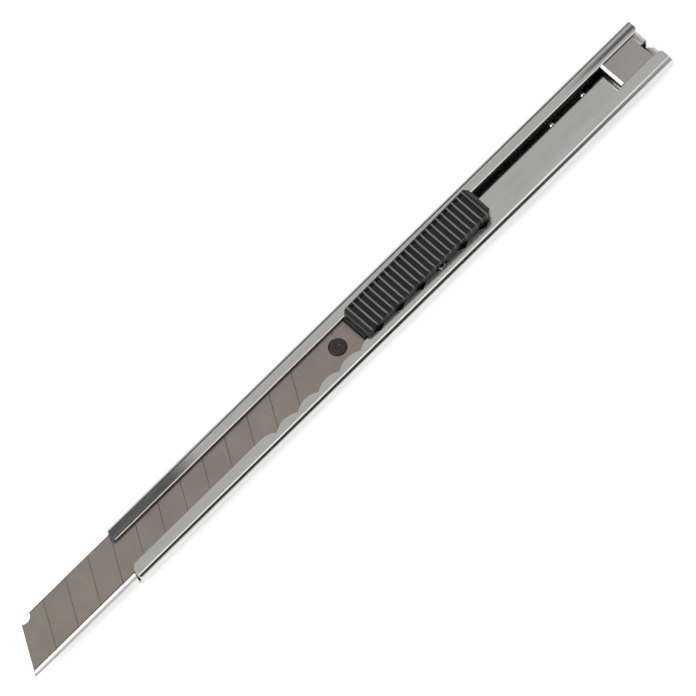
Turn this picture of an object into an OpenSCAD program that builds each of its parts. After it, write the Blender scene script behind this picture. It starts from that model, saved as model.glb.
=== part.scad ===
// Slim snap-off utility knife: stainless channel sleeve with a scalloped lip, a self-locking
// thumb slider that carries the blade, and a spring-steel pocket clip pushed into the tail.
// Millimetres. +X runs from the blade tip to the tail, +Y to the blade's spine side, +Z to the thumb side.

/* [Sleeve] */
// outside width of the folded channel
sleeve_w = 10.8; // [9.8:0.1:12]
// outside height of the folded channel
sleeve_h = 3; // [2.6:0.1:4]
// sheet thickness of the sleeve
sheet_t = 0.5; // [0.4:0.05:0.6]
// outside radius of the four bends
bend_r = 0.9; // [0.6:0.05:1]
// length from the front datum to the tail
sleeve_len = 124; // [110:0.5:140]
// how far the spine-side corner of the mouth stands ahead of the front datum
mouth_spine = 0.5; // [0:0.1:2]
// how far the edge-side corner of the mouth stands ahead of the front datum
mouth_edge = 2.6; // [0:0.1:4]
// distance from the middle to the spine-side lip
slot_spine = 2.77; // [2.6:0.01:3.2]
// distance from the middle to the straight parts of the edge-side lip
slot_edge = 2.6; // [2.5:0.01:3]

/* [Lock scallops] */
// distance between lock positions
scallop_pitch = 5; // [4:0.1:6]
// number of lock positions
scallop_count = 15; // [8:1:18]
// distance from the middle to the tops of the lobes
scallop_top = 2.88; // [2.7:0.01:3.1]
// depth of the valleys between lobes
scallop_depth = 0.8; // [0.5:0.05:1]
// distance of the first valley from the front datum
first_valley = 31.25; // [25:0.25:40]

/* [Blade] */
// blade width, the common 9 mm size
blade_w = 9; // [8.8:0.1:9.2]
// blade thickness
blade_t = 0.38; // [0.3:0.01:0.45]
// overall blade length
blade_len = 80; // [70:0.5:86]
// how far the tip stands ahead of the front datum
blade_out = 26.75; // [5:0.05:40]
// spacing of the snap lines along the edge
snap_pitch = 5.28; // [4:0.01:7]
// number of snap lines
snap_count = 12; // [6:1:14]
// angle of the point and of the snap lines, degrees
point_angle = 59; // [45:1:65]
// width of the ground cutting bevel
bevel_w = 0.9; // [0.5:0.05:1.5]
// diameter of the blade peg
peg_d = 3.2; // [2:0.1:4]
// distance of the peg from the front datum
peg_s = 49.3; // [45:0.1:52]

/* [Thumb slider] */
// distance of the slider's front from the front datum
slider_s = 53.35; // [50:0.05:60]
// slider length
slider_len = 30.15; // [24:0.05:36]
// width of the thumb piece above the lips
thumb_w = 6.1; // [5.8:0.1:7]
// height of the thumb piece above the lips at its front
thumb_front_h = 1.6; // [1:0.1:3]
// height of the thumb piece above the lips at its rear
thumb_rear_h = 2.8; // [1:0.1:4]
// spacing of the thumb ribs
rib_pitch = 1.247; // [1:0.001:2]
// number of thumb ribs
rib_count = 21; // [10:1:24]

/* [Lock spring] */
// leaf thickness
leaf_t = 0.25; // [0.2:0.01:0.4]
// leaf height
leaf_h = 0.8; // [0.7:0.1:1.6]
// outside radius of the nose that drops into a valley
nose_r = 0.8; // [0.5:0.05:1]
// index of the valley that holds the nose
nose_valley = 8; // [0:1:14]

/* [Pocket clip] */
// sheet thickness of the clip
clip_t = 0.5; // [0.4:0.05:0.6]
// distance of the upturned stop from the front datum
clip_stop_s = 114.85; // [110:0.05:118]
// width of the plate inside the channel
clip_plate_w = 9.2; // [8:0.1:9.6]
// width of the tongue on the back
clip_tongue_w = 6.4; // [5:0.1:8]
// width of the fold at the tail
clip_fold_w = 7.4; // [6:0.1:8]
// distance of the tongue's free end from the front datum
clip_tip_s = 86; // [80:1:100]
// gap between the tongue and the sleeve's back
clip_gap = 0.3; // [0.1:0.05:1]
// drop of the tongue's flared end
clip_flare = 0.9; // [0.3:0.1:2]
// width of the snapping notch
notch = 2; // [1:0.1:2.5]

/* [Hidden] */
$fn = 64;
cut = 1;

stainless = [0.78, 0.78, 0.77];
blade_steel = [0.55, 0.51, 0.47];
spring_steel = [0.70, 0.69, 0.66];
black_plastic = [0.07, 0.065, 0.065];
black_oxide = [0.10, 0.095, 0.09];

// datum: the part is centred on its overall length, and its lowest point is z = 0
mid_s = (sleeve_len - blade_out) / 2;
back_z = clip_gap + clip_t + clip_flare;
floor_z = back_z + sheet_t;
lip_z = back_z + sleeve_h;
under_lip_z = lip_z - sheet_t;

lobe_r = (pow(scallop_depth, 2) + pow(scallop_pitch / 2, 2)) / (2 * scallop_depth);
valley_y = scallop_top + scallop_depth;
end_drop = valley_y - slot_edge;
end_lobe_r = (pow(end_drop, 2) + pow(scallop_pitch / 2, 2)) / (2 * end_drop);
last_valley = first_valley + (scallop_count - 1) * scallop_pitch;
nose_s = first_valley + nose_valley * scallop_pitch;

mouth_round = 0.9;
lip_nose = 0.7;
tail_relief_s = sleeve_len - 1.2;
tail_round = 0.8;
tail_relief_w = clip_fold_w + 0.5;
pip_s = [102.5, 109.9];
pip_y = 2.3;
pip_h = 0.15;
pip_r = 0.6;

blade_y = 0.15;
edge_y = blade_y - blade_w / 2;
spine_y = blade_y + blade_w / 2;
blade_top_z = lip_z - 0.97;
blade_low_z = blade_top_z - blade_t;
edge_land = 0.04;
score_w = 0.14;
score_d = 0.07;
peg_clear = 0.05;
peg_stand = 0.28;

web_gap = 0.02;
web_top_z = blade_low_z - web_gap;
web_t = 0.5;
web_low_z = web_top_z - web_t;
carrier_s = [46.4, 82];
carrier_w = 7.4;
flange_t = 0.5;
floor_gap = 0.05;
shank_r = 0.9;
rivet_s = [58.4, 79];
rivet_r = 0.75;
rivet_head_r = 1.3;
head_t = 0.3;

foot_w = 9.1;
foot_low_z = web_top_z + web_gap;
foot_top_z = under_lip_z - 0.06;
neck_spine = slot_spine - 0.12;
neck_edge = slot_edge - 0.1;
thumb_low_z = lip_z + 0.08;
// front slope: distance from the slider's front and drop below the front height
slope_len = 1.5;
front_slope = [[0.1, 1.15], [0.45, 0.38], [0.65, 0.26], [1.3, 0.12], [slope_len, 0]];
rear_step = 0.6;
rib_s = slider_s + 2.6;
rib_top = 0.32;
rib_fall = 0.18;
groove_d = 0.5;
groove_rim = 0.3;
lean = atan((thumb_rear_h - thumb_front_h) / (slider_len - rear_step - slope_len));

leaf_y = -1.75;
nose_tip_y = -(scallop_top + lobe_r - sqrt(pow(lobe_r + nose_r + 0.04, 2)
               - pow(scallop_pitch / 2, 2))) - nose_r;
nose_y = nose_tip_y + nose_r;
leaf_low_z = foot_top_z + 0.04;
leaf_span = 10.5;
seat_len = 1.2;
pocket_y = [-2.4, -0.75];
window_w = 2.6;

plate_top_z = under_lip_z - 0.05;
plate_low_z = plate_top_z - clip_t;
tongue_top_z = back_z - clip_gap;
tongue_low_z = tongue_top_z - clip_t;
fold_out_r = (plate_top_z - tongue_low_z) / 2;
fold_in_r = fold_out_r - clip_t;
fold_s = sleeve_len - fold_out_r;
fold_z = tongue_low_z + fold_out_r;
stop_r = 0.8;
stop_top_z = lip_z + 0.3;
stop_slant = 0.28;
stop_y = [0.12 - slot_edge, slot_spine - 0.12];
flare_len = 6;
flare_steps = 8;

function px(s) = s - mid_s;

// ---- helpers: an outline drawn in the Y-Z plane and swept along X, and one drawn in X-Z swept along Y
module along_x(s0, s1) {
  translate([px(s0), 0, 0])
    rotate([90, 0, 90])
      linear_extrude(height = s1 - s0)
        children();
}

module along_y(y0, y1) {
  translate([0, y1, 0])
    rotate([90, 0, 0])
      linear_extrude(height = y1 - y0)
        children();
}

module plan(z0, z1) {
  translate([0, 0, z0])
    linear_extrude(height = z1 - z0)
      children();
}

module box(s0, s1, y0, y1, z0, z1) {
  translate([px(s0), y0, z0])
    cube([s1 - s0, y1 - y0, z1 - z0]);
}

module rect(x0, x1, y0, y1) {
  translate([x0, y0])
    square([x1 - x0, y1 - y0]);
}

module rounded_rect(y, z0, z1, r) {
  rect(r - y, y - r, z0, z1);
  rect(-y, y, z0 + r, z1 - r);
  for (sy = [-1, 1])
    for (z = [z0 + r, z1 - r])
      translate([sy * (y - r), z])
        circle(r = r);
}

// ---- sleeve
module tube_profile() {
  difference() {
    rounded_rect(sleeve_w / 2, back_z, lip_z, bend_r);
    rounded_rect(sleeve_w / 2 - sheet_t, floor_z, under_lip_z, bend_r - sheet_t);
  }
}

module slot_plan() {
  difference() {
    rect(px(-mouth_edge - cut), px(sleeve_len + cut), -valley_y, slot_spine);
    rect(px(-mouth_edge - cut), px(first_valley - scallop_pitch / 2), -sleeve_w, -slot_edge);
    rect(px(last_valley + scallop_pitch / 2), px(sleeve_len + cut), -sleeve_w, -slot_edge);
    for (s = [first_valley - scallop_pitch / 2, last_valley + scallop_pitch / 2])
      translate([px(s), -slot_edge - end_lobe_r])
        circle(r = end_lobe_r);
    for (k = [0 : scallop_count - 2])
      translate([px(first_valley + (k + 0.5) * scallop_pitch), -scallop_top - lobe_r])
        circle(r = lobe_r);
  }
  // the inner corners of both lips are broken at the mouth
  polygon([[px(-mouth_edge - cut), slot_spine - 0.1],
           [px(lip_nose - 1.1), slot_spine - 0.1],
           [px(lip_nose - 1.1), slot_spine],
           [px(-mouth_edge - cut), slot_spine + 2 * lip_nose]]);
  polygon([[px(-mouth_edge - cut), 0.1 - slot_edge],
           [px(lip_nose - 2.1), 0.1 - slot_edge],
           [px(lip_nose - 2.1), -slot_edge],
           [px(-mouth_edge - cut), -slot_edge - 2.4 * lip_nose]]);
  // and rounded at the tail
  for (lip_y = [slot_spine, -slot_edge])
    tail_corner(lip_y);
}

module tail_corner(lip_y) {
  side = sign(lip_y);
  y0 = lip_y - 0.1 * side;
  y1 = lip_y + tail_round * side;
  difference() {
    rect(px(sleeve_len - tail_round), px(sleeve_len + cut), min(y0, y1), max(y0, y1));
    translate([px(sleeve_len - tail_round), y1])
      circle(r = tail_round);
  }
}

// everything ahead of the slanted, round-cornered mouth
module mouth_plan() {
  half = sleeve_w / 2;
  turn = atan((mouth_edge - mouth_spine) / sleeve_w);
  far = mouth_edge + 3;
  a = mouth_round;
  spine_arc = [for (t = [0 : 15 : 90]) [px(a - mouth_spine) - a * sin(t), half - a + a * cos(t)]];
  edge_arc = [for (t = [0 : 15 : 90]) [px(a - mouth_edge) - a * cos(t), a - half - a * sin(t)]];
  polygon(concat([[px(-far), half + cut], [px(a - mouth_spine), half + cut]],
                 spine_arc,
                 edge_arc,
                 [[px(a - mouth_edge), -half - cut], [px(-far), -half - cut]]));
}

module sleeve() {
  color(stainless) {
    difference() {
      along_x(-mouth_edge, sleeve_len) tube_profile();
      plan(under_lip_z - 0.01, lip_z + cut) slot_plan();
      plan(back_z - cut, lip_z + cut) mouth_plan();
      box(tail_relief_s, sleeve_len + cut, -tail_relief_w / 2, tail_relief_w / 2,
          back_z - cut, floor_z + 0.4);
      along_y(-sleeve_w, sleeve_w)
        polygon([[px(sleeve_len + cut), back_z - cut],
                 [px(sleeve_len - 1), back_z - cut],
                 [px(sleeve_len - 0.9), back_z],
                 [px(sleeve_len), back_z + 1.2],
                 [px(sleeve_len + cut), back_z + 1.2]]);
    }
    // two small pips pressed up out of the floor
    for (s = pip_s)
      intersection() {
        translate([px(s), pip_y, floor_z + pip_h - pip_r])
          sphere(r = pip_r);
        box(s - 2, s + 2, pip_y - 2, pip_y + 2, floor_z - 0.2, floor_z + cut);
      }
  }
}

// ---- blade
module blade_profile() {
  mid_z = (blade_low_z + blade_top_z) / 2;
  polygon([[spine_y, blade_low_z],
           [spine_y, blade_top_z],
           [edge_y + bevel_w, blade_top_z],
           [edge_y, mid_z + edge_land / 2],
           [edge_y, mid_z - edge_land / 2],
           [edge_y + bevel_w, blade_low_z]]);
}

module blade_plan() {
  tail_s = blade_len - blade_out;
  difference() {
    polygon([[px(-blade_out), edge_y],
             [px(tail_s - 0.5), edge_y],
             [px(tail_s), edge_y + 0.5],
             [px(tail_s), spine_y - 0.5],
             [px(tail_s - 0.5), spine_y],
             [px(-blade_out + blade_w / tan(point_angle)), spine_y]]);
    translate([px(-20.8), spine_y + 0.5])
      circle(r = 1.55);
    translate([px(peg_s), 0])
      circle(d = peg_d + 2 * peg_clear);
  }
}

module score_line(s, y, length) {
  translate([px(s), y, blade_top_z])
    rotate([0, 0, point_angle])
      rotate([90, 0, 90])
        linear_extrude(height = length)
          polygon([[-score_w, score_d], [score_w, score_d], [0, -score_d]]);
}

module snap_off_blade() {
  color(blade_steel)
    difference() {
      intersection() {
        along_x(-blade_out, blade_len - blade_out) blade_profile();
        plan(blade_low_z - cut, blade_top_z + cut) blade_plan();
      }
      for (k = [1 : snap_count])
        score_line(k * snap_pitch - blade_out, edge_y, 2 * blade_w);
      // short locating mark on the spine side of the tang
      score_line(50.2, 2.1, 1.2);
    }
}

module blade_peg() {
  color(black_oxide)
    translate([px(peg_s), 0, 0])
      rotate_extrude()
        polygon([[0, web_low_z - head_t],
                 [rivet_head_r - 0.1, web_low_z - head_t],
                 [rivet_head_r, web_low_z - head_t + 0.1],
                 [rivet_head_r, web_low_z],
                 [shank_r, web_low_z],
                 [shank_r, web_top_z],
                 [peg_d / 2, web_top_z],
                 [peg_d / 2, blade_top_z + peg_stand - 0.15],
                 [peg_d / 2 - 0.15, blade_top_z + peg_stand],
                 [0.55, blade_top_z + peg_stand],
                 [0.4, blade_top_z + peg_stand - 0.12],
                 [0, blade_top_z + peg_stand - 0.12]]);
}

// ---- blade carrier: shallow steel channel under the blade's tang and the slider
module blade_carrier() {
  color(spring_steel)
    difference() {
      box(carrier_s[0], carrier_s[1], -carrier_w / 2, carrier_w / 2,
          floor_z + floor_gap, web_top_z);
      box(carrier_s[0] - cut, carrier_s[1] + cut, flange_t - carrier_w / 2,
          carrier_w / 2 - flange_t, floor_z - cut, web_low_z);
      for (sy = [-1, 1])
        translate([px(carrier_s[0]), sy * carrier_w / 2, floor_z - cut])
          rotate([0, 0, 45])
            cube([1.2, 1.2, 8], center = true);
      translate([px(peg_s), 0, floor_z])
        cylinder(r = shank_r + 0.02, h = 3);
      for (s = rivet_s)
        translate([px(s), 0, floor_z])
          cylinder(r = rivet_r + 0.02, h = 3);
    }
}

module carrier_rivets() {
  color(spring_steel)
    for (s = rivet_s)
      translate([px(s), 0, 0]) {
        translate([0, 0, web_low_z - head_t])
          cylinder(r = rivet_head_r, h = head_t);
        translate([0, 0, web_low_z - 0.1])
          cylinder(r = rivet_r, h = lip_z - web_low_z + 0.6);
      }
}

// ---- thumb slider
module thumb_side() {
  end_s = slider_s + slider_len;
  polygon(concat([[px(slider_s + 0.1), thumb_low_z]],
                 [for (p = front_slope) [px(slider_s + p[0]), lip_z + thumb_front_h - p[1]]],
                 [[px(end_s - rear_step), lip_z + thumb_rear_h],
                  [px(end_s), lip_z + thumb_rear_h - 0.5],
                  [px(end_s), thumb_low_z]]));
}

module thumb_outline() {
  half = thumb_w / 2;
  a = px(slider_s + 0.1);
  b = px(slider_s + slider_len);
  polygon([[a, half - 0.75], [a + 0.9, half], [b - 0.75, half], [b, half - 0.55],
           [b, 0.55 - half], [b - 0.75, -half], [a + 0.75, -half], [a, 0.55 - half]]);
}

// round-ended pockets inside a narrow rim; the top of each rib between them falls towards the tip
module thumb_grooves() {
  groove_w = rib_pitch - rib_top;
  half = thumb_w / 2 - groove_rim;
  end_y = half - groove_w / 2;
  translate([px(slider_s + slope_len), 0, lip_z + thumb_front_h])
    rotate([0, -lean, 0])
      for (k = [-1 : rib_count - 1])
        translate([rib_s - slider_s - slope_len + k * rib_pitch, 0, 0]) {
          translate([rib_top + groove_w / 2, 0, -groove_d])
            linear_extrude(height = 2 * groove_d) {
              rect(-groove_w / 2, groove_w / 2, -end_y, end_y);
              for (sy = [-1, 1])
                translate([0, sy * end_y])
                  circle(r = groove_w / 2);
            }
          if (k >= 0)
            along_y(-half, half)
              polygon([[-0.01, -rib_fall], [rib_top, 0.001], [rib_top, 0.3], [-0.01, 0.3]]);
        }
}

module spring_pocket() {
  z0 = foot_top_z;
  z1 = leaf_low_z + leaf_h + 0.1;
  box(nose_s - leaf_span + seat_len, nose_s + leaf_span - seat_len, pocket_y[0], pocket_y[1], z0, z1);
  box(nose_s - leaf_span - 0.1, nose_s + leaf_span + 0.1, leaf_y - leaf_t / 2 - 0.02,
      leaf_y + leaf_t / 2 + 0.02, z0, z1);
  box(nose_s - window_w / 2, nose_s + window_w / 2, -thumb_w, pocket_y[1], z0, z1);
}

module thumb_slider() {
  color(black_plastic)
    difference() {
      union() {
        box(slider_s, slider_s + slider_len - 0.3, -foot_w / 2, foot_w / 2, foot_low_z, foot_top_z);
        box(slider_s + 0.1, slider_s + slider_len - 0.4, -neck_edge, neck_spine,
            foot_top_z - 0.1, thumb_low_z + 0.1);
        intersection() {
          along_y(-thumb_w, thumb_w) thumb_side();
          plan(thumb_low_z, lip_z + 2 * thumb_rear_h) thumb_outline();
        }
      }
      thumb_grooves();
      spring_pocket();
      for (s = rivet_s)
        translate([px(s), 0, foot_low_z - cut])
          cylinder(r = rivet_r + 0.02, h = lip_z + 0.55 - foot_low_z + cut);
    }
}

// ---- lock spring: a leaf on edge whose nose drops into the lip's valleys
module lock_spring() {
  inner = nose_r - leaf_t;
  color(spring_steel)
    translate([px(nose_s), 0, leaf_low_z])
      linear_extrude(height = leaf_h) {
        rect(-leaf_span, -inner, leaf_y - leaf_t / 2, leaf_y + leaf_t / 2);
        rect(inner, leaf_span, leaf_y - leaf_t / 2, leaf_y + leaf_t / 2);
        for (sx = [-1, 1])
          translate([sx * (nose_r - leaf_t / 2), 0])
            rect(-leaf_t / 2, leaf_t / 2, nose_y, leaf_y + leaf_t / 2);
        difference() {
          translate([0, nose_y])
            circle(r = nose_r);
          translate([0, nose_y])
            circle(r = inner);
          rect(-2, 2, nose_y, 0);
        }
      }
}

// ---- pocket clip
module clip_side() {
  difference() {
    translate([px(fold_s), fold_z])
      circle(r = fold_out_r);
    translate([px(fold_s), fold_z])
      circle(r = fold_in_r);
    rect(px(fold_s) - 3, px(fold_s), 0, lip_z);
  }
  rect(px(clip_stop_s + stop_r), px(fold_s) + 0.01, plate_low_z, plate_top_z);
  clip_stop_side();
  flare = [for (k = [0 : flare_steps]) [px(clip_tip_s + flare_len * (1 - k / flare_steps)),
           tongue_top_z - clip_flare * pow(k / flare_steps, 2)]];
  polygon(concat([[px(fold_s) + 0.01, tongue_top_z]],
                 flare,
                 [for (k = [flare_steps : -1 : 0]) flare[k] - [0, clip_t]],
                 [[px(fold_s) + 0.01, tongue_low_z]]));
}

// the plate's front end turned up, its top sloping towards the tip
module clip_stop_side() {
  front = px(clip_stop_s);
  bend_z = plate_low_z + stop_r;
  difference() {
    union() {
      translate([front + stop_r, bend_z])
        circle(r = stop_r);
      rect(front, front + stop_r, bend_z, stop_top_z);
    }
    translate([front + stop_r, bend_z])
      circle(r = stop_r - clip_t);
    rect(front + clip_t, front + 2 * stop_r + cut, bend_z, stop_top_z + cut);
    rect(front + stop_r, front + 2 * stop_r + cut, plate_low_z - cut, stop_top_z + cut);
    polygon([[front - cut, stop_top_z - stop_slant * (1 + cut / clip_t)],
             [front + clip_t, stop_top_z],
             [front + clip_t, bend_z + stop_r + cut],
             [front - cut, bend_z + stop_r + cut]]);
  }
}

module clip_upper_plan() {
  rect(px(clip_stop_s) - 0.1, px(clip_stop_s + stop_r), stop_y[0], stop_y[1]);
  rect(px(clip_stop_s + stop_r) - 0.01, px(tail_relief_s - 0.6), -clip_plate_w / 2, clip_plate_w / 2);
  rect(px(tail_relief_s - 1), px(sleeve_len) + 0.1, -clip_fold_w / 2, clip_fold_w / 2);
}

module clip_lower_plan() {
  half = clip_tongue_w / 2;
  rect(px(clip_tip_s + half), px(sleeve_len - 3), -half, half);
  translate([px(clip_tip_s + half), 0])
    circle(r = half);
  polygon([[px(sleeve_len - 3.1), -half], [px(sleeve_len - 3.1), half],
           [px(fold_s), clip_fold_w / 2], [px(sleeve_len) + 0.1, clip_fold_w / 2],
           [px(sleeve_len) + 0.1, -clip_fold_w / 2], [px(fold_s), -clip_fold_w / 2]]);
}

module pocket_clip() {
  color(stainless)
    difference() {
      intersection() {
        along_y(-sleeve_w, sleeve_w) clip_side();
        union() {
          plan(fold_z, stop_top_z + cut) clip_upper_plan();
          plan(-cut, fold_z) clip_lower_plan();
        }
      }
      // the notch that grips a blade segment for snapping
      plan(fold_z + 0.25, lip_z) notch_plan(0.85 * notch);
      plan(-cut, lip_z) notch_plan(0.38 * notch);
    }
}

module notch_plan(depth) {
  half = notch / 2;
  polygon([[px(sleeve_len + cut), -half],
           [px(sleeve_len - 0.3 * depth), -half],
           [px(sleeve_len - 0.65 * depth), -0.6 * half],
           [px(sleeve_len - depth), -0.6 * half],
           [px(sleeve_len - depth), 0.6 * half],
           [px(sleeve_len - 0.65 * depth), 0.6 * half],
           [px(sleeve_len - 0.3 * depth), half],
           [px(sleeve_len + cut), half]]);
}

sleeve();
snap_off_blade();
blade_peg();
blade_carrier();
carrier_rivets();
thumb_slider();
lock_spring();
pocket_clip();
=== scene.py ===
"""Looks for the slim snap-off utility knife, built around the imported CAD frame."""

import math

import bpy
from mathutils import Matrix, Vector


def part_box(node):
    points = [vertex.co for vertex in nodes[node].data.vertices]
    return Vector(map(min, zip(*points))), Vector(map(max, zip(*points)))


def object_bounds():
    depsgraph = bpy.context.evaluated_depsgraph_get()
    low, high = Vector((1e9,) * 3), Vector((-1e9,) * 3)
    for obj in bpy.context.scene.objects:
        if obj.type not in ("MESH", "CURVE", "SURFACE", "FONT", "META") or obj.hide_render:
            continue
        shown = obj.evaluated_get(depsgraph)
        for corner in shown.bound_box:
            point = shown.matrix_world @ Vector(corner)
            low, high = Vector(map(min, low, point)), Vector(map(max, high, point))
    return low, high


MM = 0.001

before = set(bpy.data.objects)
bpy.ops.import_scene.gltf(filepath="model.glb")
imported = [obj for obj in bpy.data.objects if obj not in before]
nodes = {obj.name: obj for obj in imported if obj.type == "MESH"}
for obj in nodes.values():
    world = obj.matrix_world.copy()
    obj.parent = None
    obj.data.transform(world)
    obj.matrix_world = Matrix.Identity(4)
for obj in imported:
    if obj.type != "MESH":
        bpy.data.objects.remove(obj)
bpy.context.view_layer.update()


# ---- shader helpers -------------------------------------------------------------------------

class Shader:
    """A material with short ways to add the nodes used here."""

    def __init__(self, name):
        self.mat = bpy.data.materials.new(name)
        self.mat.use_nodes = True
        self.tree = self.mat.node_tree
        self.bsdf = self.tree.nodes["Principled BSDF"]
        coords = self.tree.nodes.new("ShaderNodeTexCoord")
        self.position = coords.outputs["Object"]

    def node(self, kind, **values):
        n = self.tree.nodes.new(kind)
        for key, value in values.items():
            setattr(n, key, value)
        return n

    def link(self, a, b):
        self.tree.links.new(a, b)

    def stretched(self, scale):
        """The object position times scale, in 1/m on each axis."""
        m = self.node("ShaderNodeMapping")
        m.inputs["Scale"].default_value = scale
        self.link(self.position, m.inputs["Vector"])
        return m.outputs["Vector"]

    def noise(self, scale, detail=4.0, roughness=0.55):
        n = self.node("ShaderNodeTexNoise")
        n.inputs["Scale"].default_value = 1.0
        n.inputs["Detail"].default_value = detail
        n.inputs["Roughness"].default_value = roughness
        self.link(self.stretched(scale), n.inputs["Vector"])
        return n.outputs["Fac"]

    def ramp(self, fac, stops):
        """stops: (place, value or colour)."""
        r = self.node("ShaderNodeValToRGB")
        while len(r.color_ramp.elements) < len(stops):
            r.color_ramp.elements.new(0.5)
        for element, (place, value) in zip(r.color_ramp.elements, stops):
            colour = value if isinstance(value, tuple) else (value, value, value)
            element.position = place
            element.color = (*colour, 1.0)
        self.link(fac, r.inputs["Fac"])
        return r.outputs["Color"]

    def span(self, fac, low, high, out_low=0.0, out_high=1.0, smooth=False):
        """fac mapped from low..high to out_low..out_high, clamped."""
        m = self.node("ShaderNodeMapRange", interpolation_type="SMOOTHSTEP" if smooth else "LINEAR")
        for socket, value in zip(("From Min", "From Max", "To Min", "To Max"),
                                 (low, high, out_low, out_high)):
            m.inputs[socket].default_value = value
        self.link(fac, m.inputs["Value"])
        return m.outputs["Result"]

    def axis(self, name):
        s = self.node("ShaderNodeSeparateXYZ")
        self.link(self.position, s.inputs["Vector"])
        return s.outputs[name]

    def math(self, operation, a, b):
        n = self.node("ShaderNodeMath", operation=operation)
        for socket, value in zip(n.inputs, (a, b)):
            if isinstance(value, (int, float)):
                socket.default_value = value
            else:
                self.link(value, socket)
        return n.outputs["Value"]

    def mix(self, fac, a, b):
        n = self.node("ShaderNodeMix", data_type="RGBA")
        for socket, value in ((n.inputs["Factor"], fac), (n.inputs[6], a), (n.inputs[7], b)):
            if isinstance(value, (int, float)):
                socket.default_value = value
            elif isinstance(value, tuple):
                socket.default_value = (*value, 1.0)
            else:
                self.link(value, socket)
        return n.outputs[2]

    def bump(self, height, distance, strength=1.0):
        b = self.node("ShaderNodeBump")
        b.inputs["Distance"].default_value = distance
        b.inputs["Strength"].default_value = strength
        self.link(height, b.inputs["Height"])
        self.link(b.outputs["Normal"], self.bsdf.inputs["Normal"])

    def set(self, **sockets):
        for name, value in sockets.items():
            socket = self.bsdf.inputs[name.replace("_", " ")]
            if isinstance(value, (int, float)):
                socket.default_value = value
            else:
                self.link(value, socket)
        return self


def rolled_steel(name, dark, light, rough_low, rough_high, line_scale=9000.0, line_depth=0.6e-6, swell=None,
                 inside=None):
    """Bright rolled sheet: fine lengthwise polishing lines, faint clouding and a few rubbed patches.

    swell(shader) gives a height in metres that is added to the polishing lines. Below the height inside the
    sheet is the shinier channel floor.
    """
    s = Shader(name)
    lines = s.noise((line_scale / 150, line_scale, line_scale), 3.0)
    clouds = s.noise((90.0, 260.0, 260.0), 5.0, 0.6)
    scuffs = s.noise((500.0, 2600.0, 2600.0), 6.0, 0.7)
    tone = s.math("ADD", s.math("MULTIPLY", lines, 0.45), s.math("MULTIPLY", clouds, 0.55))
    s.set(Base_Color=s.ramp(tone, [(0.3, dark), (0.7, light)]), Metallic=1.0)
    worn = s.math("ADD", s.math("MULTIPLY", lines, 0.5), s.math("MULTIPLY", scuffs, 0.5))
    rough = s.span(worn, 0.3, 0.7, rough_low, rough_high)
    if inside:
        outside = s.span(s.axis("Z"), inside - 0.3 * MM, inside + 0.3 * MM, 0.35, 1.0)
        rough = s.math("MULTIPLY", rough, outside)
    s.set(Roughness=rough)
    height = s.math("MULTIPLY", lines, line_depth)
    if swell:
        height = s.math("ADD", height, swell(s))
    s.bump(height, 1.0)
    return s


# ---- materials ------------------------------------------------------------------------------

# The spine-side lip, from the sheet's shape near the front, near the tail and at the slot.
LIP_TIP_DEGREES = 3.2
LIP_ROLL_DEGREES = 7.0
LIP_PIVOT_Y = 3.9 * MM
TIPPED_UNTIL = (14 * MM, 24 * MM)  # distance from the front
GROOVED_FROM = (18 * MM, 5 * MM)  # distance from the tail
GROOVE_Y = (3.25 * MM, 4.15 * MM)
GROOVE_DROP = 0.6 * MM
ROLL_Y = 2.64 * MM
ROLL_WIDTH = 0.26 * MM


def sprung_lip(s):
    """The shape rolling leaves in the spine-side lip, as a height in metres.

    The lip tips over by a few degrees at the front, has a shallow groove near the tail, and rolls down at the
    slot.
    """
    low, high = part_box("sleeve")
    y = s.axis("Y")
    tip = math.tan(math.radians(LIP_TIP_DEGREES))
    roll = math.tan(math.radians(LIP_ROLL_DEGREES))
    front = s.span(s.axis("X"), low[0] + TIPPED_UNTIL[0], low[0] + TIPPED_UNTIL[1], 1.0, 0.0, smooth=True)
    tail = s.span(s.axis("X"), high[0] - GROOVED_FROM[0], high[0] - GROOVED_FROM[1], smooth=True)
    tipped = s.math("MULTIPLY", front, s.math("MULTIPLY", s.math("SUBTRACT", y, LIP_PIVOT_Y), -tip))
    groove = s.math("MULTIPLY", tail, s.span(y, *GROOVE_Y, 0.0, -GROOVE_DROP * tip, smooth=True))
    edge = s.span(y, ROLL_Y, ROLL_Y + ROLL_WIDTH, -ROLL_WIDTH * roll, 0.0)
    on_lip = s.math("MULTIPLY", s.span(y, 2.4 * MM, 2.5 * MM),
                    s.span(s.axis("Z"), high[2] - 0.95 * MM, high[2] - 0.85 * MM))
    return s.math("MULTIPLY", on_lip, s.math("ADD", s.math("ADD", tipped, groove), edge))


sleeve_steel = rolled_steel("sleeve_stainless", (0.53, 0.53, 0.52), (0.62, 0.62, 0.61), 0.14, 0.22,
                            swell=sprung_lip, inside=3.2 * MM)
clip_steel = rolled_steel("clip_stainless", (0.375, 0.355, 0.33), (0.435, 0.415, 0.385), 0.22, 0.30,
                          line_depth=0.2e-6)
carrier_steel = rolled_steel("carrier_stainless", (0.50, 0.49, 0.47), (0.60, 0.59, 0.57), 0.22, 0.36)
spring_steel = rolled_steel("spring_steel", (0.62, 0.61, 0.58), (0.74, 0.73, 0.70), 0.12, 0.22)


STOP_TO_TAIL = 9.15 * MM


def pale_stop_face_painted_reflection(s):
    """The sheared front of the clip's stop is duller than the rolled sheet and painted pale: a painted
    reflection that keeps the face light grey.
    """
    stop_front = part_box("pocket_clip")[1][0] - STOP_TO_TAIL
    front = s.span(s.axis("X"), stop_front + 0.04 * MM, stop_front + 0.08 * MM, 1.0, 0.0)
    face = s.math("MULTIPLY", front, s.span(s.axis("Z"), 2.0 * MM, 2.5 * MM))
    rolled = s.bsdf.inputs["Base Color"].links[0].from_socket
    # painted reflection: pale base colour and low metallic on the stop's front face
    s.set(Base_Color=s.mix(face, rolled, (0.85, 0.85, 0.84)))
    s.set(Metallic=s.span(face, 0.0, 1.0, 1.0, 0.2))


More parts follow.
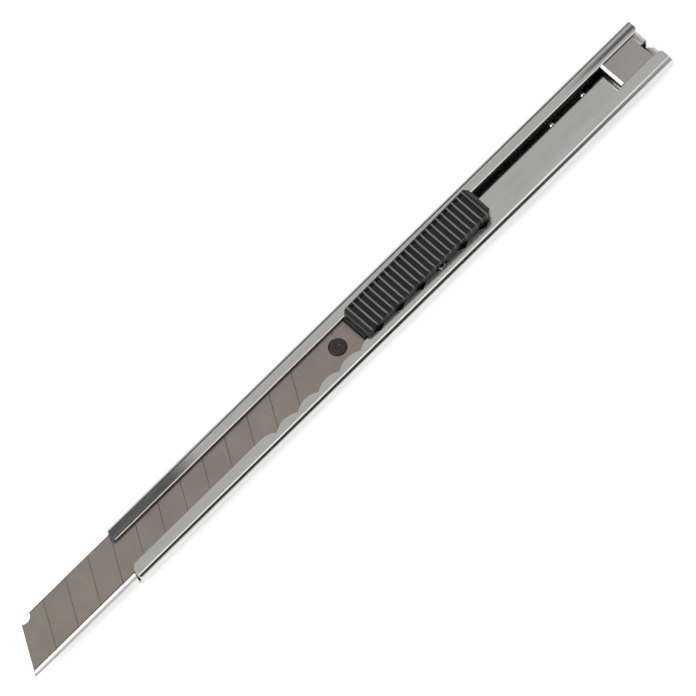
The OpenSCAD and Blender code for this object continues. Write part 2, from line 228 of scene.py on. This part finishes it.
pale_stop_face_painted_reflection(clip_steel)


POINT_DEGREES = 59.0
BEVEL_WIDTH = 0.9 * MM
SHADE_BAND_WIDTH = 0.45 * MM


def blade_material():
    """Satin tool steel: brownish grey faces with crosswise grinding lines and a two-step edge: a bright
    ground band, and an outer band painted darker as painted shade for a steeper facet.
    """
    s = Shader("blade_steel")
    low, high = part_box("snap_off_blade")
    y = s.axis("Y")
    bevel_top = low[1] + BEVEL_WIDTH
    grind = s.noise((7000.0, 260.0, 260.0), 4.0)
    clouds = s.noise((160.0, 160.0, 160.0), 5.0, 0.6)
    tone = s.math("ADD", s.math("MULTIPLY", grind, 0.5), s.math("MULTIPLY", clouds, 0.5))
    face = s.ramp(tone, [(0.32, (0.28, 0.242, 0.212)), (0.68, (0.345, 0.298, 0.262))])
    inner = s.ramp(grind, [(0.3, (0.84, 0.83, 0.81)), (0.7, (0.92, 0.91, 0.90))])
    # painted shade: the outer band of the edge is coloured darker, standing in for a facet turned away from
    # the light
    outer_painted_shade = s.ramp(grind, [(0.3, (0.27, 0.26, 0.255)), (0.7, (0.40, 0.39, 0.38))])
    shade_band_top = low[1] + SHADE_BAND_WIDTH
    edge = s.mix(s.span(y, shade_band_top - 0.05 * MM, shade_band_top + 0.05 * MM), outer_painted_shade, inner)
    ground = s.span(y, bevel_top - 0.03 * MM, bevel_top + 0.03 * MM, 1.0, 0.0)
    # painted shade: dark lines just above the bevel and along the edges of the point and the spine
    off_bevel_line = s.math("ABSOLUTE", s.math("SUBTRACT", y, bevel_top + 0.08 * MM), 0.0)
    bevel_line_shade = s.span(off_bevel_line, 0.06 * MM, 0.12 * MM, 1.0, 0.0)
    lean = math.radians(POINT_DEGREES)
    inside = s.math("SUBTRACT", s.math("MULTIPLY", s.math("SUBTRACT", s.axis("X"), low[0]), math.sin(lean)),
                    s.math("MULTIPLY", s.math("SUBTRACT", y, low[1]), math.cos(lean)))
    point = s.span(inside, 0.04 * MM, 0.14 * MM, 1.0, 0.0)
    spine = s.span(y, high[1] - 0.16 * MM, high[1] - 0.06 * MM)
    # painted shade: these dark lines are mixed into the blade colour
    dark = s.math("MULTIPLY", s.math("MAXIMUM", s.math("MAXIMUM", bevel_line_shade, point), spine), 0.85)
    s.set(Base_Color=s.mix(dark, s.mix(ground, face, edge), (0.07, 0.058, 0.05)), Metallic=1.0)
    face_rough = s.span(tone, 0.3, 0.7, 0.30, 0.42)
    s.set(Roughness=s.math("SUBTRACT", face_rough, s.math("MULTIPLY", ground, 0.12)))
    s.bump(grind, 0.8e-6)
    return s


RIB_PITCH = 1.247 * MM
FIRST_CREST = 0.305 * MM


def black_plastic_material():
    """Moulded black plastic: fine texture, and a painted highlight on the rib crests, which are coloured
    grey.
    """
    s = Shader("black_plastic")
    grain = s.noise((9000.0, 9000.0, 9000.0), 3.0)
    rub = s.noise((700.0, 300.0, 700.0), 4.0)
    base = s.ramp(rub, [(0.35, (0.005, 0.0045, 0.0043)), (0.7, (0.010, 0.009, 0.0086))])
    crest_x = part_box("thumb_slider")[0][0] + FIRST_CREST
    step = s.math("FRACT", s.math("DIVIDE", s.math("SUBTRACT", s.axis("X"), crest_x), RIB_PITCH), 0.0)
    crest = s.span(s.math("ABSOLUTE", s.math("SUBTRACT", step, 0.5), 0.0), 0.36, 0.42)
    top = s.span(s.axis("Z"), 5.9 * MM, 6.2 * MM)
    # painted highlight: grey base colour along the rib crests on the top, varied by the rub noise
    worn = s.math("MULTIPLY", s.math("MULTIPLY", crest, top), s.span(rub, 0.3, 0.7, 0.65, 1.0))
    s.set(Base_Color=s.mix(worn, base, (0.14, 0.136, 0.133)), IOR=1.40)
    s.set(Roughness=s.span(rub, 0.3, 0.7, 0.26, 0.38))
    s.bump(grain, 2e-6)
    return s


def black_oxide_material():
    s = Shader("black_oxide_steel")
    cloud = s.noise((2500.0, 2500.0, 2500.0), 4.0)
    s.set(Base_Color=s.ramp(cloud, [(0.3, (0.016, 0.014, 0.013)), (0.7, (0.034, 0.030, 0.028))]))
    s.set(Metallic=0.3, Roughness=s.span(cloud, 0.3, 0.7, 0.36, 0.52))
    s.bump(cloud, 4e-6)
    return s


LOOKS = {
    "sleeve": sleeve_steel,
    "pocket_clip": clip_steel,
    "blade_carrier": carrier_steel,
    "carrier_rivets": carrier_steel,
    "lock_spring": spring_steel,
    "snap_off_blade": blade_material(),
    "thumb_slider": black_plastic_material(),
    "blade_peg": black_oxide_material(),
}
EDGE_BREAK = {  # width of the broken edge, in mm
    "sleeve": 0.14,
    "pocket_clip": 0.09,
    "blade_carrier": 0.05,
    "carrier_rivets": 0.06,
    "lock_spring": 0.04,
    "snap_off_blade": 0.012,
    "thumb_slider": 0.06,
    "blade_peg": 0.05,
}

for name, look in LOOKS.items():
    piece = nodes[name]
    for slot in piece.material_slots:
        slot.link = "OBJECT"
        slot.material = look.mat
    weld = piece.modifiers.new("weld", "WELD")
    weld.merge_threshold = 1e-6
    bevel = piece.modifiers.new("edge_break", "BEVEL")
    bevel.width = EDGE_BREAK[name] * MM
    bevel.segments = 3
    bevel.limit_method = "ANGLE"
    bevel.angle_limit = math.radians(35)
    bevel.harden_normals = True


# ---- stage: pale floor, soft light, camera --------------------------------------------------

low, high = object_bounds()
middle = (Vector(low) + Vector(high)) / 2

FLOOR_GLOW = 0.50  # the table is lit a little from below
FLOOR_GAP = 0.02 * MM
bpy.ops.mesh.primitive_plane_add(size=40.0, location=(middle.x, middle.y, low[2] - FLOOR_GAP))
floor = bpy.context.object
floor.name = "floor"
floor_look = Shader("floor_white")
paper = floor_look.noise((60.0, 60.0, 60.0), 3.0)
floor_look.set(Base_Color=floor_look.ramp(paper, [(0.3, (0.90, 0.90, 0.90)), (0.7, (0.92, 0.92, 0.92))]),
               Roughness=0.9, Emission_Strength=FLOOR_GLOW)
floor_look.bsdf.inputs["Emission Color"].default_value = (1.0, 1.0, 1.0, 1.0)
floor.data.materials.append(floor_look.mat)


def soft_light(name, place, aim, size, power):
    data = bpy.data.lights.new(name, "AREA")
    data.shape = "RECTANGLE"
    data.size, data.size_y = size
    data.energy = power
    lamp = bpy.data.objects.new(name, data)
    lamp.location = place
    lamp.rotation_euler = (Vector(aim) - Vector(place)).to_track_quat("-Z", "Y").to_euler()
    bpy.context.collection.objects.link(lamp)
    return lamp


soft_light("tip_box", place=(-1.1, 0.2, 1.0), aim=(0, 0, 0), size=(0.65, 0.65), power=7.0)

# The room: a wide soft panel overhead that reaches out over the tip, pale walls low down all round, and a
# dark gap between panel and walls on both long sides. The panel's edges are slopes, x/z and y/z of a
# direction, and the walls' are plain x and y of it. Each pair is where a soft edge starts and ends.
PANEL_POWER = 1.5
PANEL_X = ((-1.15, -0.85), (0.45, 0.70))
PANEL_Y = ((-0.36, -0.22), (0.20, 0.51))
DARK_WALL = 0.04
END_WALL = 0.8
SPINE_WALL = 0.9
EDGE_WALL = 0.7
TAIL_WALL_X = (0.40, 0.62)
TIP_WALL_X = (-0.45, -0.15)
SPINE_WALL_Y = (0.70, 0.84)
EDGE_WALL_Y = (-0.975, -0.91)

world = bpy.data.worlds.new("studio")
world.use_nodes = True
bpy.context.scene.world = world
world_tree = world.node_tree


def world_node(kind, values, **settings):
    """A world node with its inputs filled in order, either linked or set."""
    n = world_tree.nodes.new(kind)
    for key, value in settings.items():
        setattr(n, key, value)
    for socket, value in zip(n.inputs, values):
        if isinstance(value, bpy.types.NodeSocket):
            world_tree.links.new(value, socket)
        else:
            socket.default_value = value
    return n


def world_math(operation, a, b=0.0):
    return world_node("ShaderNodeMath", (a, b), operation=operation).outputs["Value"]


def world_step(value, start, end, low=0.0, high=1.0):
    n = world_node("ShaderNodeMapRange", (value, start, end, low, high), interpolation_type="SMOOTHSTEP")
    return n.outputs["Result"]


def world_band(value, edges):
    """1 between the two soft edges, 0 outside them."""
    (rise0, rise1), (fall0, fall1) = edges
    rise = world_step(value, rise0, rise1)
    return world_math("MULTIPLY", rise, world_step(value, fall0, fall1, 1.0, 0.0))


direction = world_tree.nodes.new("ShaderNodeTexCoord").outputs["Generated"]
x, y, z = world_node("ShaderNodeSeparateXYZ", (direction,)).outputs
above = world_math("MAXIMUM", z, 0.001)
panel = world_math("MULTIPLY", world_band(world_math("DIVIDE", x, above), PANEL_X),
                   world_band(world_math("DIVIDE", y, above), PANEL_Y))
end_walls = world_math("MAXIMUM", world_step(x, *TAIL_WALL_X, DARK_WALL, END_WALL),
                       world_step(x, *TIP_WALL_X, END_WALL, DARK_WALL))
side_walls = world_math("MAXIMUM", world_step(y, *SPINE_WALL_Y, 0.0, SPINE_WALL),
                        world_step(y, *EDGE_WALL_Y, EDGE_WALL, 0.0))
walls = world_math("MAXIMUM", end_walls, side_walls)
light = world_math("ADD", world_math("MULTIPLY", panel, PANEL_POWER), walls)
world_tree.links.new(light, world_tree.nodes["Background"].inputs["Strength"])
world_tree.nodes["Background"].inputs["Color"].default_value = (1.0, 1.0, 1.0, 1.0)

# The camera stands high on the tip and edge side, far off with a long lens, and is rolled a little.
RIGHT = Vector((0.6989, -0.7075, -0.1048)).normalized()
UP = Vector((0.6835, 0.6175, 0.3892))
TOWARDS = RIGHT.cross(UP).normalized()
UP = TOWARDS.cross(RIGHT).normalized()
TARGET = Vector((1.50, -1.77, 4.73)) * MM
DISTANCE = 4.5
FIELD = 115.87 * MM
camera_data = bpy.data.cameras.new("camera")
camera_data.sensor_width = 36.0
camera_data.lens = 36.0 * DISTANCE / FIELD
camera_data.clip_start = 0.01
camera = bpy.data.objects.new("camera", camera_data)
turn = Matrix((RIGHT, UP, TOWARDS)).transposed().to_4x4()
camera.matrix_world = Matrix.Translation(TARGET + TOWARDS * DISTANCE) @ turn
bpy.context.collection.objects.link(camera)
bpy.context.scene.camera = camera

bpy.context.scene.view_settings.view_transform = "Standard"
